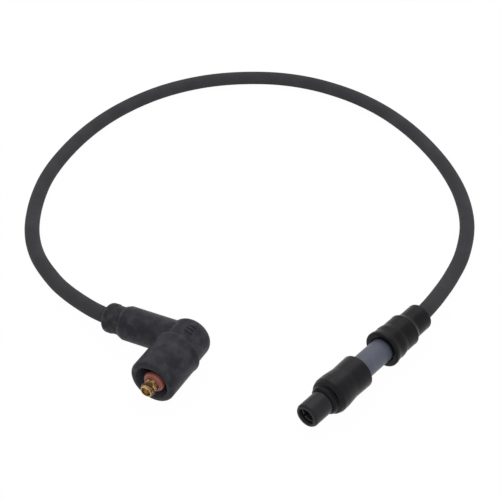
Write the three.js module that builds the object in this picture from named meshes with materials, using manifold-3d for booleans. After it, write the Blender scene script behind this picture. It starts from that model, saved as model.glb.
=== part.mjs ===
// Ignition lead: a straight spark plug connector and an elbow connector on one high-tension cable.
// Millimetres, +Z up. The lead lies on the plane z = 0, the straight connector's axis runs along +Y
// with its open nose towards -Y, and the origin is the middle of the two connectors' floor box.
import * as THREE from "three";
import { mergeVertices } from "three/addons/utils/BufferGeometryUtils.js";
import Module from "manifold-3d";

const wasm = await Module();
wasm.setup();

// Driving dimensions of the whole lead
const clearance = 0.3; // between a piece and what it sits in
const degree = Math.PI / 180;

const cable = { radius: 3.5, coreRadius: 1.5, boreRadius: 1.9, sides: 10, coreSides: 6, steps: 56 };
const cableBore = cable.radius + clearance;

// Straight connector, measured along its axis from the tip of the nose
const plugPlace = { x: 46.64, tipY: -21.13 };
const nose = {
  radius: 5.15, tipRadius: 4.6, chamfer: 0.9, mouthRadius: 3.3, mouthChamfer: 0.4, lipDepth: 1.6, length: 15.6,
};
const socket = { bore: 3.2, wall: 0.6, depth: 9.0, base: 1.9, studRadius: 1.4, studLength: 7.5, bellmouth: 0.3 };
const fingers = { slots: 4, width: 0.7, depth: 6.5 };
const clip = { wire: 0.25, setback: 3.0, gapAngle: 40, grooveDepth: 0.3, grooveWidth: 1.0 };
const tube = { radius: 5.23, wall: 1.13, end: 62.0, frontWall: 2.1, round: 0.3 };
const plugBoot = {
  start: 10.35, lipRadius: 6.35, lipSlope: 0.45, lipLength: 1.7, grooveRadius: 5.75, grooveWidth: 0.6,
  shoulderDrop: 0.7, bulgeRadius: 7.98, bulgeAt: 15.15, bulgeLength: 3.2, waistRadius: 7.25, waistAt: 24.15,
  endRadius: 7.5, end: 32.95, round: 0.5,
};
const cableBoot = {
  start: 48.85, mouthRadius: 5.95, mouthDepth: 1.2, flareRadius: 8.17, flareLength: 1.6, flareTaper: 2.0,
  bodyRadius: 7.72, bodyEnd: 55.95, bodyTaper: 2.0, sleeveRadius: 7.32, sleeveEnd: 64.85, ribHeight: 0.1,
  ribWidth: 0.7, ribAt: 54.85, collarRadius: 6.02, collarStart: 67.15, end: 76.4, round: 0.8,
};
const plugResistor = { radius: 2.3, length: 15.0, capRadius: 2.6, capLength: 2.2 };
const plugSpring = { radius: 2.2, wire: 0.32, length: 7.5, turns: 6 };
const screw = { headRadius: 3.1, headLength: 1.2, rootRadius: 0.95, threadRadius: 1.4, length: 9.0, threads: 5 };

// Elbow connector, measured from where the barrel's axis crosses the axis of the terminal
const elbowPlace = { x: -15.25, y: -23.78, yaw: 12.4 };
const insertLean = 1.6; // the insulator and its terminal lean this much towards +X in the soft cup
const cup = {
  radius: 10.07, bore: 7.15, mouth: 26.74, length: 20.3, round: 1.6, lipHeight: 0.25, lipLength: 1.2,
  mouthChamfer: 0.4,
};
const head = { radius: 9.2, back: 7.1, round: 4.6, padDrop: 0.4 };
const noseSleeve = { wall: 1.4, mouthSetback: 12.0 };
const barrel = { radius: 7.46, endRadius: 7.52, tipRadius: 6.7, chamfer: 2.2, length: 31.2 };
const seal = {
  beadRadius: 6.55, neckRadius: 6.2, neckLength: 4.0, beadLength: 4.0, shoulder: 0.6, round: 1.7,
  plugRadius: 4.9, plugLength: 6.0,
};
const insulator = { radius: 5.15, stepRadius: 4.35, recess: 2.5, proud: 0.2, round: 0.5, back: 9.0 };
const terminal = {
  radius: 2.75, wall: 0.6, reach: 5.1, shankEnd: 15.0, grooves: 5, groovePitch: 0.75, grooveDepth: 0.2,
};
const nut = { radius: 3.6, length: 0.7, setback: 1.3 };
const contact = { radius: 2.6, length: 8.6, front: 4.6 };
const elbowSpring = { radius: 2.1, wire: 0.32, turns: 7 };
const elbowResistor = { radius: 2.3, length: 10.5, capRadius: 2.6, capLength: 1.8 };

// The cable's middle line, chosen by hand: out of the straight connector, round the open loop that the
// lead lies in, and into the elbow's barrel
const route = [
  [46.64, 24.07, 8.17], [46.64, 34.47, 8.17], [46.64, 45.97, 8.17], [46.49, 56.47, 8.15],
  [45.79, 63.97, 7.8], [43.89, 73.97, 6.5], [40.29, 88.47, 4.4], [34.79, 105.87, 3.62],
  [24.19, 125.97, 3.6], [8.79, 143.47, 3.6], [-9.31, 157.17, 3.6], [-28.11, 167.27, 3.6],
  [-46.51, 174.27, 3.6], [-64.01, 178.27, 3.6], [-80.11, 179.37, 3.6], [-94.71, 178.07, 3.6],
  [-110.81, 174.07, 3.6], [-127.31, 166.07, 3.6], [-143.11, 153.17, 3.6], [-155.91, 137.37, 3.6],
  [-165.41, 117.57, 3.6], [-170.01, 96.77, 3.6], [-170.31, 72.47, 3.6], [-164.51, 44.67, 3.6],
  [-151.51, 15.37, 3.6], [-129.61, -11.03, 3.6], [-111.11, -23.73, 3.6], [-91.11, -30.33, 3.6],
  [-81.21, -31.93, 3.9], [-71.61, -32.73, 4.7], [-62.01, -32.93, 5.6], [-52.61, -31.98, 6.46],
  [-45.4, -30.4, 7.2], [-38.59, -28.91, 7.91], [-30.04, -27.03, 8.79],
];

// Materials
const look = (color, roughness, metalness = 0) => new THREE.MeshStandardMaterial({ color, roughness, metalness });
const cableJacketLook = look(0x3b3b3e, 0.75);
const mouldedRubber = look(0x3a393f, 0.6);
const sealRubber = look(0x323434, 0.7);
const bootRubber = look(0x2c2c2e, 0.5);
const nosePlastic = look(0x37373b, 0.45);
const greyPlastic = look(0x596273, 0.5);
const phenolic = look(0x9e5044, 0.4);
const brass = look(0xc79a3e, 0.3, 1);
const steel = look(0xb4b6ba, 0.35, 1);
const copper = look(0xb0663c, 0.4, 1);
const ceramic = look(0xd8d2c4, 0.6);

// Shape helpers
const outerSegments = 28;
const innerSegments = 16;
const smallRounding = 0.6; // below this a rounding is a single flat

// Corners are [radius, height] or [radius, height, rounding]; a rounding becomes a short arc
function roundedOutline(corners) {
  const outline = [];
  corners.forEach(([r, y, rounding = 0], i) => {
    const corner = new THREE.Vector2(r, y);
    if (rounding === 0) {
      outline.push(corner);
      return;
    }
    const before = corners[(i + corners.length - 1) % corners.length];
    const after = corners[(i + 1) % corners.length];
    const toBefore = new THREE.Vector2(before[0] - r, before[1] - y).normalize();
    const toAfter = new THREE.Vector2(after[0] - r, after[1] - y).normalize();
    const halfAngle = Math.acos(THREE.MathUtils.clamp(toBefore.dot(toAfter), -1, 1)) / 2;
    const reach = rounding / Math.tan(halfAngle);
    const start = corner.clone().addScaledVector(toBefore, reach);
    const end = corner.clone().addScaledVector(toAfter, reach);
    const bisector = toBefore.clone().add(toAfter).normalize();
    const centre = corner.clone().addScaledVector(bisector, rounding / Math.sin(halfAngle));
    const from = start.clone().sub(centre).angle();
    let sweep = end.clone().sub(centre).angle() - from;
    if (sweep > Math.PI) sweep -= 2 * Math.PI;
    if (sweep < -Math.PI) sweep += 2 * Math.PI;
    const arcSteps = rounding < smallRounding ? 1 : 3;
    for (let k = 0; k <= arcSteps; k++) {
      const angle = from + (sweep * k) / arcSteps;
      outline.push(new THREE.Vector2(centre.x + rounding * Math.cos(angle), centre.y + rounding * Math.sin(angle)));
    }
  });
  return outline;
}

// A turned piece about the Y axis, from a closed outline
function turned(corners, segments = outerSegments) {
  const outline = roundedOutline(corners);
  if (THREE.ShapeUtils.area(outline) < 0) outline.reverse();
  outline.push(outline[0].clone());
  return new THREE.LatheGeometry(outline, segments);
}

const sideways = (geometry) => geometry.rotateZ(degree * 90); // +Y becomes -X, as the barrel runs

function toSolid(geometry) {
  const bare = new THREE.BufferGeometry();
  bare.setAttribute("position", geometry.getAttribute("position").clone());
  if (geometry.index) bare.setIndex(geometry.index.clone());
  const merged = mergeVertices(bare, 1e-4);
  const index = merged.index.array;
  const kept = [];
  for (let i = 0; i < index.length; i += 3) {
    const [a, b, c] = [index[i], index[i + 1], index[i + 2]];
    if (a !== b && b !== c && c !== a) kept.push(a, b, c);
  }
  const vertProperties = new Float32Array(merged.getAttribute("position").array);
  return new wasm.Manifold(new wasm.Mesh({ numProp: 3, vertProperties, triVerts: new Uint32Array(kept) }));
}

function toGeometry(solid) {
  const { vertProperties, triVerts } = solid.getMesh();
  const geometry = new THREE.BufferGeometry();
  geometry.setAttribute("position", new THREE.BufferAttribute(new Float32Array(vertProperties), 3));
  geometry.setIndex(new THREE.BufferAttribute(new Uint32Array(triVerts), 1));
  geometry.computeVertexNormals();
  return geometry;
}

const cutFrom = (solid, ...shapes) => shapes.map(toSolid).reduce((all, next) => all.subtract(next), solid);

function addPiece(group, name, geometry, material) {
  const mesh = new THREE.Mesh(geometry, material);
  mesh.name = name;
  group.add(mesh);
  return mesh;
}

function circleShape(radius, sides) {
  const points = Array.from({ length: sides }, (_, i) => {
    const angle = (2 * Math.PI * i) / sides;
    return new THREE.Vector2(radius * Math.cos(angle), radius * Math.sin(angle));
  });
  return new THREE.Shape(points);
}

class Coil extends THREE.Curve {
  constructor(radius, start, length, turns) {
    super();
    Object.assign(this, { radius, start, length, turns });
  }
  getPoint(t, target = new THREE.Vector3()) {
    const angle = 2 * Math.PI * this.turns * t;
    const height = this.start + this.length * t;
    return target.set(this.radius * Math.cos(angle), height, this.radius * Math.sin(angle));
  }
}

// A compression spring along Y whose wire stays between start and start + length
function springGeometry({ radius, wire, turns }, start, length) {
  const coil = new Coil(radius - wire, start + wire, length - 2 * wire, turns);
  const stepsPerTurn = 10;
  return new THREE.ExtrudeGeometry(circleShape(wire, 5), {
    steps: turns * stepsPerTurn, bevelEnabled: false, extrudePath: coil,
  });
}

// A cartridge resistor with a pressed cap at each end
function resistorGeometry({ radius, length, capRadius, capLength }, start) {
  const end = start + length;
  return turned([
    [0, start], [capRadius, start, 0.3], [capRadius, start + capLength], [radius, start + capLength],
    [radius, end - capLength], [capRadius, end - capLength], [capRadius, end, 0.3], [0, end],
  ], innerSegments);
}

// The pointed screw that bites into the conductor: flat head, rings for its coarse thread, pointed tip
function cableScrewGeometry(start) {
  const shankStart = start + screw.headLength;
  const pitch = (screw.length - screw.threadRadius) / screw.threads;
  const corners = [[0, start], [screw.headRadius, start, 0.25], [screw.headRadius, shankStart], [screw.rootRadius, shankStart]];
  for (let i = 0; i < screw.threads; i++) {
    const at = shankStart + pitch * (i + 0.35);
    corners.push([screw.rootRadius, at], [screw.threadRadius, at + pitch * 0.25], [screw.rootRadius, at + pitch * 0.5]);
  }
  const threadEnd = shankStart + pitch * screw.threads;
  corners.push([screw.rootRadius, threadEnd], [0, shankStart + screw.length]);
  return turned(corners, innerSegments);
}

// Straight connector
const tubeBore = tube.radius - tube.wall;
const tubeStart = nose.length + clearance;
const noseBore = socket.bore + socket.wall + clearance + 0.2;
const studBore = socket.studRadius + clearance;
const socketStart = nose.lipDepth + clearance;
const socketRadius = socket.bore + socket.wall;
const socketFloor = socketStart + socket.depth;
const socketBack = socketFloor + socket.base;
const spigotStart = socketBack + clearance;
const bootBore = tube.radius + clearance;
const noseSeat = nose.radius + clearance;
const studEnd = socketBack + socket.studLength;

function makePlugNose() {
  return turned([
    [nose.mouthRadius, nose.mouthChamfer], [nose.mouthRadius + nose.mouthChamfer, 0], [nose.tipRadius, 0],
    [nose.radius, nose.chamfer],
    [nose.radius, nose.length], [noseBore, nose.length], [noseBore, nose.lipDepth], [nose.mouthRadius, nose.lipDepth],
  ]);
}

function makePlugTube() {
  const spigotRadius = noseBore - clearance;
  return turned([
    [studBore, spigotStart], [spigotRadius, spigotStart], [spigotRadius, tubeStart],
    [tube.radius, tubeStart, tube.round], [tube.radius, tube.end, tube.round], [tubeBore, tube.end],
    [tubeBore, tubeStart + tube.frontWall],
    [studBore, tubeStart + tube.frontWall],
  ]);
}

function makeSocketTerminal() {
  const rim = socketStart;
  const grooveStart = rim + clip.setback - clip.grooveWidth / 2;
  const grooveEnd = grooveStart + clip.grooveWidth;
  const grooveRadius = socketRadius - clip.grooveDepth;
  const body = turned([
    [socket.bore + socket.bellmouth, rim], [socketRadius, rim], [socketRadius, grooveStart],
    [grooveRadius, grooveStart], [grooveRadius, grooveEnd], [socketRadius, grooveEnd], [socketRadius, socketBack],
    [socket.studRadius, socketBack], [socket.studRadius, studEnd], [0, studEnd], [0, socketFloor],
    [socket.bore, socketFloor], [socket.bore, rim + socket.bellmouth],
  ], innerSegments);
  const slots = Array.from({ length: fingers.slots / 2 }, (_, i) => {
    const slot = new THREE.BoxGeometry(3 * socketRadius, 2 * fingers.depth, fingers.width);
    return slot.rotateY((2 * Math.PI * (i + 0.5)) / fingers.slots).translate(0, rim, 0);
  });
  return toGeometry(cutFrom(toSolid(body), ...slots));
}

class OpenRing extends THREE.Curve {
  constructor(radius, height, gapAngle) {
    super();
    Object.assign(this, { radius, height, gapAngle });
  }
  getPoint(t, target = new THREE.Vector3()) {
    const gap = degree * this.gapAngle;
    const angle = gap / 2 + (2 * Math.PI - gap) * t;
    return target.set(this.radius * Math.cos(angle), this.height, this.radius * Math.sin(angle));
  }
}

function makeClip() {
  const seatGap = 0.05; // the ring grips the fingers
  const ringRadius = socketRadius - clip.grooveDepth + clip.wire + seatGap;
  const ring = new OpenRing(ringRadius, socketStart + clip.setback, clip.gapAngle);
  return new THREE.ExtrudeGeometry(circleShape(clip.wire, 5), { steps: 16, bevelEnabled: false, extrudePath: ring });
}

function makeSealingBoot() {
  const b = plugBoot;
  const lipEnd = b.start + b.lipLength;
  const grooveEnd = lipEnd + b.grooveWidth;
  const bulgeEnd = b.bulgeAt + b.bulgeLength;
  return turned([
    [noseSeat, b.start], [b.lipRadius - b.lipSlope, b.start, 0.3], [b.lipRadius, lipEnd - b.lipSlope, 0.4],
    [b.grooveRadius, lipEnd], [b.grooveRadius, grooveEnd], [b.bulgeRadius - b.shoulderDrop, grooveEnd, 0.3],
    [b.bulgeRadius, b.bulgeAt, 1.2], [b.bulgeRadius - 0.1, bulgeEnd, 2.4], [b.waistRadius, b.waistAt, 5],
    [b.endRadius, b.end, b.round], [bootBore, b.end], [bootBore, nose.length], [noseSeat, nose.length - clearance],
  ]);
}

function makeCableBoot() {
  const b = cableBoot;
  const flareEnd = b.start + b.flareLength;
  const rib = (at, radius) => [
    [radius, at - b.ribWidth / 2], [radius + b.ribHeight, at - b.ribWidth / 5],
    [radius + b.ribHeight, at + b.ribWidth / 5], [radius, at + b.ribWidth / 2],
  ];
  return turned([
    [b.mouthRadius, b.start, 0.3], [b.flareRadius, b.start, b.round], [b.flareRadius, flareEnd, 1.5],
    [b.bodyRadius, flareEnd + b.flareTaper], ...rib(b.ribAt, b.bodyRadius), [b.bodyRadius, b.bodyEnd],
    [b.sleeveRadius, b.bodyEnd + b.bodyTaper], ...rib(b.sleeveEnd - b.ribWidth / 2, b.sleeveRadius),
    [b.collarRadius, b.collarStart, 0.8], [b.collarRadius, b.end, b.round], [cableBore, b.end],
    [cableBore, tube.end + clearance], [bootBore, tube.end + clearance], [bootBore, b.start + b.mouthDepth],
  ]);
}

const plug = new THREE.Group();
plug.position.set(plugPlace.x, plugPlace.tipY, cableBoot.flareRadius);
const plugResistorStart = studEnd + clearance;
const plugSpringStart = plugResistorStart + plugResistor.length + clearance;
const plugScrewStart = plugSpringStart + plugSpring.length + clearance;
addPiece(plug, "plug_nose", makePlugNose(), nosePlastic);
addPiece(plug, "plug_socket_terminal", makeSocketTerminal(), steel);
addPiece(plug, "plug_socket_clip", makeClip(), steel);
addPiece(plug, "plug_body_tube", makePlugTube(), greyPlastic);
addPiece(plug, "plug_resistor", resistorGeometry(plugResistor, plugResistorStart), ceramic);
addPiece(plug, "plug_spring", springGeometry(plugSpring, plugSpringStart, plugSpring.length), steel);
addPiece(plug, "plug_cable_screw", cableScrewGeometry(plugScrewStart), brass);
addPiece(plug, "plug_sealing_boot", makeSealingBoot(), bootRubber);
addPiece(plug, "plug_cable_boot", makeCableBoot(), bootRubber);

// Elbow connector
const mouthY = -cup.mouth;
const cupBackY = mouthY + cup.length;
const headFrontY = cupBackY + clearance;
const sleeveRadius = cup.bore - clearance;
const sleeveFrontY = mouthY + noseSleeve.mouthSetback;
const insulatorBore = insulator.radius + clearance;
const insulatorBackY = -insulator.back;
const chamberBore = contact.radius + clearance;
const contactBackY = contact.length - contact.front;
const barrelBore = cableBore;
const sealBore = seal.plugRadius + clearance;
const sealSeat = barrel.length - seal.plugLength - clearance;
const lean = degree * insertLean;

function makeCup() {
  const back = cupBackY;
  return turned([
    [cup.bore, mouthY + cup.mouthChamfer], [cup.bore + cup.mouthChamfer, mouthY], [cup.radius, mouthY, cup.round],
    [cup.radius, back - cup.lipLength - 0.6], [cup.radius + cup.lipHeight, back - cup.lipLength, 0.3],
    [cup.radius + cup.lipHeight, back, 0.4], [cup.bore, back],
  ], 36);
}

function makeHousing() {
  const headRound = turned([
    [0, headFrontY], [head.radius, headFrontY], [head.radius, head.back, head.round], [0, head.back],
  ], 36);
  // A flat grip pad is moulded on the top of the head
  const padCut = new THREE.BoxGeometry(2 * head.radius, 3 * head.radius, 2 * head.padDrop);
  const headShape = cutFrom(toSolid(headRound), padCut.translate(0, 0, head.radius));
  const sleeve = turned([[0, sleeveFrontY], [sleeveRadius, sleeveFrontY, 0.4], [sleeveRadius, 0], [0, 0]]);
  const barrelShape = sideways(turned([
    [0, 0], [barrel.radius, 0], [barrel.radius, barrel.length / 2], [barrel.endRadius, barrel.length - barrel.chamfer],
    [barrel.tipRadius, barrel.length], [0, barrel.length],
  ]));
  const past = 1;
  const insulatorSeat = turned([
    [0, sleeveFrontY - past], [insulatorBore, sleeveFrontY - past], [insulatorBore, insulatorBackY + clearance],
    [0, insulatorBackY + clearance],
  ], innerSegments).rotateZ(lean);
  const chamber = turned([
    [0, insulatorBackY], [chamberBore, insulatorBackY], [chamberBore, contactBackY + clearance],
    [0, contactBackY + clearance],
  ], innerSegments).rotateZ(lean);
  const cableHole = sideways(turned([
    [0, 0], [barrelBore, 0], [barrelBore, sealSeat], [sealBore, sealSeat], [sealBore, barrel.length + past],
    [0, barrel.length + past],
  ], innerSegments));
  // The barrel is relieved where the back of the cup sits against it
  const cupRelief = turned([
    [0, mouthY], [cup.radius + cup.lipHeight + clearance, mouthY],
    [cup.radius + cup.lipHeight + clearance, headFrontY], [0, headFrontY],
  ], 36);
  const outside = headShape.add(toSolid(sleeve)).add(cutFrom(toSolid(barrelShape), cupRelief));
  return toGeometry(cutFrom(outside, insulatorSeat, chamber, cableHole));
}

function makeSeal() {
  const neckStart = barrel.length + clearance;
  const beadStart = neckStart + seal.neckLength;
  const end = beadStart + seal.beadLength;
  return sideways(turned([
    [cableBore, neckStart - seal.plugLength], [seal.plugRadius, neckStart - seal.plugLength],
    [seal.plugRadius, neckStart], [seal.neckRadius, neckStart], [seal.neckRadius, beadStart - seal.shoulder],
    [seal.beadRadius, beadStart + seal.shoulder, seal.shoulder], [seal.beadRadius, end, seal.round], [cableBore, end],
  ]));
}

function makeInsulator() {
  const front = mouthY - insulator.proud;
  const step = mouthY + insulator.recess;
  const bore = terminal.radius + clearance;
  return turned([
    [bore, front], [insulator.stepRadius, front, insulator.round], [insulator.stepRadius, step - 0.4],
    [insulator.radius, step, insulator.round], [insulator.radius, insulatorBackY], [bore, insulatorBackY],
  ], 24);
}

function makeNut() {
  const front = mouthY - terminal.reach + nut.setback;
  const back = front + nut.length;
  const bore = terminal.radius + clearance;
  return turned([
    [bore, front], [nut.radius, front, nut.length / 4], [nut.radius, back, nut.length / 4], [bore, back],
  ], innerSegments);
}

function makeTerminal() {
  const tip = mouthY - terminal.reach;
  const shankEnd = -terminal.shankEnd;
  const corners = [[terminal.radius - terminal.wall, tip], [terminal.radius - 0.25, tip]];
  const grooveStart = tip + 0.5;
  for (let i = 0; i < terminal.grooves; i++) {
    const at = grooveStart + terminal.groovePitch * i;
    corners.push([terminal.radius, at], [terminal.radius, at + 0.35 * terminal.groovePitch]);
    corners.push([terminal.radius - terminal.grooveDepth, at + 0.7 * terminal.groovePitch]);
  }
  const plainStart = grooveStart + terminal.groovePitch * terminal.grooves;
  corners.push([terminal.radius, plainStart], [terminal.radius, shankEnd], [terminal.radius - terminal.wall, shankEnd]);
  return turned(corners, innerSegments);
}

function makeContact() {
  return turned([
    [0, -contact.front], [contact.radius, -contact.front, 0.3], [contact.radius, contactBackY, 0.3],
    [0, contactBackY],
  ], innerSegments);
}

const elbow = new THREE.Group();
// The elbow lies on the round of its cup and on the barrel's end or the bead of its cable seal,
// whichever meets the floor first as the elbow rolls over
const axisHeight = cup.radius + cup.lipHeight;
const rollUntil = (reach, radius) => Math.asin(axisHeight / Math.hypot(reach, radius)) - Math.atan2(radius, reach);
const beadReach = barrel.length + clearance + seal.neckLength + seal.beadLength - seal.round;
const roll = Math.min(
  rollUntil(beadReach, seal.beadRadius), rollUntil(barrel.length - barrel.chamfer, barrel.endRadius),
);
elbow.position.set(elbowPlace.x, elbowPlace.y, axisHeight);
elbow.rotation.set(0, -roll, degree * elbowPlace.yaw, "ZYX");
const elbowSpringStart = -terminal.shankEnd + clearance;
const elbowSpringLength = -contact.front - clearance - elbowSpringStart;
const elbowResistorStart = contact.radius + clearance;
const elbowScrewStart = elbowResistorStart + elbowResistor.length + clearance;
addPiece(elbow, "elbow_housing", makeHousing(), mouldedRubber);
addPiece(elbow, "elbow_cup", makeCup(), mouldedRubber);
addPiece(elbow, "elbow_cable_seal", makeSeal(), sealRubber);
const insert = new THREE.Group();
insert.rotation.z = lean;
elbow.add(insert);
addPiece(insert, "elbow_insulator", makeInsulator(), phenolic);
addPiece(insert, "elbow_terminal_nut", makeNut(), brass);
addPiece(insert, "elbow_terminal", makeTerminal(), brass);
addPiece(insert, "elbow_spring", springGeometry(elbowSpring, elbowSpringStart, elbowSpringLength), steel);
addPiece(insert, "elbow_contact", makeContact(), brass);
addPiece(elbow, "elbow_resistor", sideways(resistorGeometry(elbowResistor, elbowResistorStart)), ceramic);
addPiece(elbow, "elbow_cable_screw", sideways(cableScrewGeometry(elbowScrewStart)), brass);

// Cable: the jacket and the conductor follow the same route, and the conductor stops at each screw's point
const routeCurve = new THREE.CatmullRomCurve3(route.map((point) => new THREE.Vector3(...point)));
const alongRoute = { steps: cable.steps, bevelEnabled: false, extrudePath: routeCurve };

function makeJacket() {
  const section = circleShape(cable.radius, cable.sides);
  section.holes.push(new THREE.Path(circleShape(cable.boreRadius, cable.coreSides).getPoints().reverse()));
  return new THREE.ExtrudeGeometry(section, alongRoute);
}

function makeCore() {
  const core = toSolid(new THREE.ExtrudeGeometry(circleShape(cable.coreRadius, cable.coreSides), alongRoute));
  const pocket = (start) => turned([
    [0, start - screw.length], [cableBore, start - screw.length],
    [cableBore, start + screw.headLength + screw.length + clearance],
    [0, start + screw.headLength + screw.length + clearance],
  ], innerSegments);
  plug.updateMatrixWorld(true);
  elbow.updateMatrixWorld(true);
  const plugPocket = pocket(plugScrewStart).applyMatrix4(plug.matrixWorld);
  const elbowPocket = sideways(pocket(elbowScrewStart)).applyMatrix4(elbow.matrixWorld);
  return toGeometry(cutFrom(core, plugPocket, elbowPocket));
}

const lead = new THREE.Group();
lead.name = "ignition_lead";
lead.add(plug, elbow);
addPiece(lead, "cable_jacket", makeJacket(), cableJacketLook);
addPiece(lead, "cable_core", makeCore(), copper);

export default lead;
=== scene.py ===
# %% [markdown]
# An ignition lead carries a high-voltage spark from the coil to the engine. It has a straight
# connector that is pushed on the spark plug, an elbow connector with a brass terminal for the coil,
# and one thick cable between them. This lesson dresses its solid model with fine surfaces and
# materials. Lengths are in metres, and the lead lies on the plane z = 0.

# %% Load the solid model
import math

import bmesh
import bpy
import numpy as np
from mathutils import Matrix, Vector


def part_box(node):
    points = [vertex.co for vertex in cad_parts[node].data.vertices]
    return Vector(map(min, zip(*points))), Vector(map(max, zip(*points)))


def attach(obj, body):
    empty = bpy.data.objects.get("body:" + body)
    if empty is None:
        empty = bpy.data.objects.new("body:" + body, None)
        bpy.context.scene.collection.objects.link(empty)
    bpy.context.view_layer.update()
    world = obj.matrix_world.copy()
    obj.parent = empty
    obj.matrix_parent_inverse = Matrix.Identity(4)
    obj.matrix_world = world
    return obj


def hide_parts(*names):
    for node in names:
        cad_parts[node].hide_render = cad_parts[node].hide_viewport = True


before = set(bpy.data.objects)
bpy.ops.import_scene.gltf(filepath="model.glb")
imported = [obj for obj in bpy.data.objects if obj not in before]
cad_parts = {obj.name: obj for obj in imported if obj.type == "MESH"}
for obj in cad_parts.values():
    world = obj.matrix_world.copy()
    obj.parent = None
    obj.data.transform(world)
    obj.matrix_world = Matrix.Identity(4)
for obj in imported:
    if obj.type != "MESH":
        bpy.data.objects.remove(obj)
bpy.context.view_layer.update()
MM = 0.001

# %% [markdown]
# The camera stands where the photograph was taken from. The cable is 7 mm everywhere, so the way its
# width grows towards the viewer gives the camera's height, and the round edges of the cup give the
# angle: it looks down at 40 degrees through a long lens.

# %% Camera
CAMERA_AZIMUTH = math.radians(41.7)
CAMERA_ELEVATION = math.radians(40.0)
CAMERA_TARGET = Vector((-43.11, 46.97, 0.0)) * MM
CAMERA_DISTANCE = 536.8 * MM
SENSOR_WIDTH = 36.0
LENS = 82.9


def look_direction(azimuth, elevation):
    """Unit vector of the view: azimuth 0 looks along +Y and 90 degrees along -X, and it dips by elevation."""
    level = math.cos(elevation)
    return Vector((-math.sin(azimuth) * level, math.cos(azimuth) * level, -math.sin(elevation)))


def make_camera():
    """Places the camera back along its view from the target."""
    view = look_direction(CAMERA_AZIMUTH, CAMERA_ELEVATION)
    data = bpy.data.cameras.new("camera")
    data.sensor_width = SENSOR_WIDTH
    data.lens = LENS
    data.clip_start = 0.01
    camera = bpy.data.objects.new("camera", data)
    camera.location = CAMERA_TARGET - view * CAMERA_DISTANCE
    camera.rotation_euler = view.to_track_quat("-Z", "Y").to_euler()
    bpy.context.scene.collection.objects.link(camera)
    bpy.context.scene.camera = camera
    return camera


camera = make_camera()
print("camera at", [round(v / MM, 1) for v in camera.location], "mm")

# %% [markdown]
# Meshes are made as whole arrays. A grid of points with rows along one parameter and columns round
# the other becomes quads between neighbours, and the columns wrap round. A tube has open rows with a
# cap at each end, and a turned ring wraps its rows too.

# %% Grid meshes
SHARP_ANGLE = math.radians(38)


def mesh_object(name, vertices, faces, uv=None):
    """A smooth-shaded object at the origin from points in metres, faces, and one uv pair per corner."""
    mesh = bpy.data.meshes.new(name)
    mesh.from_pydata(np.asarray(vertices).tolist(), [], [list(f) for f in faces])
    mesh.update()
    if uv is not None:
        layer = mesh.uv_layers.new(name="UVMap")
        layer.data.foreach_set("uv", np.asarray(uv, dtype=np.float32).ravel())
    mesh.shade_smooth()
    mesh.set_sharp_from_angle(angle=SHARP_ANGLE)
    obj = bpy.data.objects.new(name, mesh)
    bpy.context.scene.collection.objects.link(obj)
    return obj


def grid_faces(rows, columns, wrap_rows):
    """Quads between neighbours of a rows by columns grid whose columns wrap round."""
    last = rows if wrap_rows else rows - 1
    i, j = np.meshgrid(np.arange(last), np.arange(columns), indexing="ij")
    below, beside = (i + 1) % rows, (j + 1) % columns
    quads = [i * columns + j, i * columns + beside, below * columns + beside, below * columns + j]
    return np.stack(quads, axis=-1).reshape(-1, 4)


# %% [markdown]
# The cord comes first, because its length is a fact. The photograph shows it from end to end, so its
# route repeats the points of the solid model: straight out of the straight connector, down to the
# floor, round the open loop and up into the elbow. A smooth curve passes through every point. Its
# knots are spaced by the square root of each span's length, which keeps it free of loops and cusps.

# %% Cord
CABLE_RADIUS = 3.5 * MM
ROUTE_MM = [
    [46.64, 24.07, 8.17], [46.64, 34.47, 8.17], [46.64, 45.97, 8.17], [46.49, 56.47, 8.15],
    [45.79, 63.97, 7.8], [43.89, 73.97, 6.5], [40.29, 88.47, 4.4], [34.79, 105.87, 3.62],
    [24.19, 125.97, 3.6], [8.79, 143.47, 3.6], [-9.31, 157.17, 3.6], [-28.11, 167.27, 3.6],
    [-46.51, 174.27, 3.6], [-64.01, 178.27, 3.6], [-80.11, 179.37, 3.6], [-94.71, 178.07, 3.6],
    [-110.81, 174.07, 3.6], [-127.31, 166.07, 3.6], [-143.11, 153.17, 3.6], [-155.91, 137.37, 3.6],
    [-165.41, 117.57, 3.6], [-170.01, 96.77, 3.6], [-170.31, 72.47, 3.6], [-164.51, 44.67, 3.6],
    [-151.51, 15.37, 3.6], [-129.61, -11.03, 3.6], [-111.11, -23.73, 3.6], [-91.11, -30.33, 3.6],
    [-81.21, -31.93, 3.9], [-71.61, -32.73, 4.7], [-62.01, -32.93, 5.6], [-52.61, -31.98, 6.46],
    [-45.4, -30.4, 7.2], [-38.59, -28.91, 7.91], [-30.04, -27.03, 8.79],
]


def smooth_route(points, steps_per_span=12):
    """Points along a curve through all the given ones: each span blends three straight lines by knot."""
    points = np.asarray(points, dtype=float)
    points = np.vstack([2 * points[0] - points[1], points, 2 * points[-1] - points[-2]])
    knots = np.concatenate([[0], np.cumsum(np.sqrt(np.linalg.norm(np.diff(points, axis=0), axis=1)))])
    curve = []
    for k in range(1, len(points) - 2):
        t0, t1, t2, t3 = knots[k - 1 : k + 3]
        p0, p1, p2, p3 = points[k - 1 : k + 3]
        t = np.linspace(t1, t2, steps_per_span, endpoint=False)[:, None]
        a1 = (t1 - t) / (t1 - t0) * p0 + (t - t0) / (t1 - t0) * p1
        a2 = (t2 - t) / (t2 - t1) * p1 + (t - t1) / (t2 - t1) * p2
        a3 = (t3 - t) / (t3 - t2) * p2 + (t - t2) / (t3 - t2) * p3
        b1 = (t2 - t) / (t2 - t0) * a1 + (t - t0) / (t2 - t0) * a2
        b2 = (t3 - t) / (t3 - t1) * a2 + (t - t1) / (t3 - t1) * a3
        curve.append((t2 - t) / (t2 - t1) * b1 + (t - t1) / (t2 - t1) * b2)
    curve.append(points[-2][None, :])
    return np.vstack(curve)


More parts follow.
